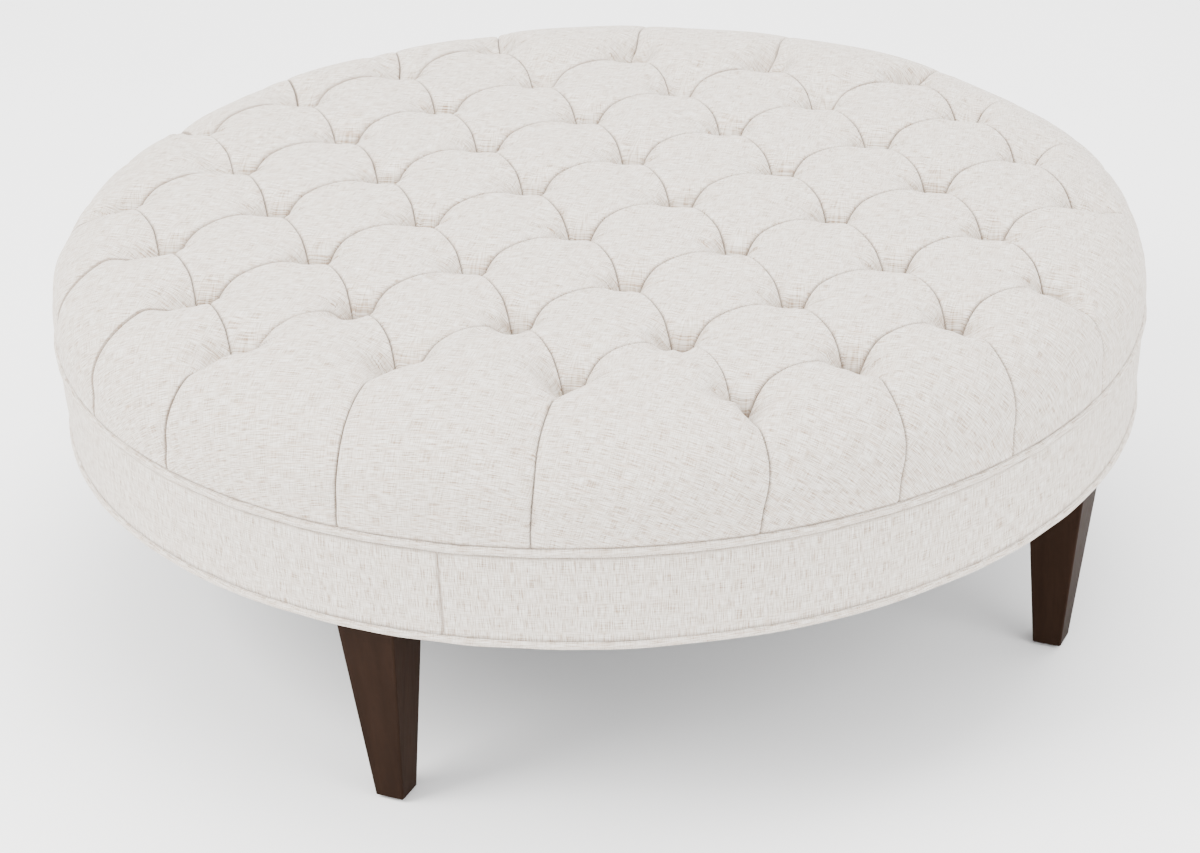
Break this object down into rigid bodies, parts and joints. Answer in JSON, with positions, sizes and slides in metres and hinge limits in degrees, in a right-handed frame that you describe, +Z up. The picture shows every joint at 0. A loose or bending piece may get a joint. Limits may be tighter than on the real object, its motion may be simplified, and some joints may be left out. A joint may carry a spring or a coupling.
{
  "type": "round tufted ottoman coffee table",
  "caption": "Round upholstered ottoman table: deep diamond-tufted cushion, welted fabric band and square tapered wooden legs.",
  "frame": {"origin": "on the floor under the centre of the round top", "axes": "+Z up; +X along the rows of tufts; -Y towards the pictured front"},
  "size_m": [1.2184, 1.2188, 0.483],
  "materials": {
    "linen": "plain linen-look weave with slubs, matt",
    "foam": "open-cell upholstery foam",
    "batting": "bonded fibre batting",
    "twine": "waxed twine",
    "washer_card": "pressed card",
    "stained_wood": "espresso stain, satin lacquer",
    "plywood": "raw plywood",
    "frame_timber": "sawn timber",
    "plated_steel": "zinc plated",
    "glide_plastic": "moulded nylon",
    "dust_cloth": "black non-woven cloth"
  },
  "bodies": {
    "root": {"band_cover": "linen", "band_padding": "batting", "base_ring": "plywood", "batting_wrap": "batting", "block_screws": "plated_steel", "deck_screws": "plated_steel", "dust_cover": "dust_cloth", "dust_cover_staples": "plated_steel", "foam_core": "foam", "frame_posts": "frame_timber", "glide_nails": "plated_steel", "glides": "glide_plastic", "hanger_bolts": "plated_steel", "hem_staples": "plated_steel", "leg_back": "stained_wood", "leg_blocks": "frame_timber", "leg_front": "stained_wood", "leg_left": "stained_wood", "leg_right": "stained_wood", "leg_t_nuts": "plated_steel", "lower_cross_rail": "frame_timber", "lower_welt_cord": "twine", "lower_welt_cover": "linen", "rim_hoop": "plywood", "ring_screws": "plated_steel", "tack_strip": "washer_card", "tuft_twines": "twine", "tuft_washers": "washer_card", "tufted_cover": "linen", "tufting_deck": "plywood", "upper_cross_rail": "frame_timber", "upper_welt_cord": "twine", "upper_welt_cover": "linen"}
  },
  "joints": []
}
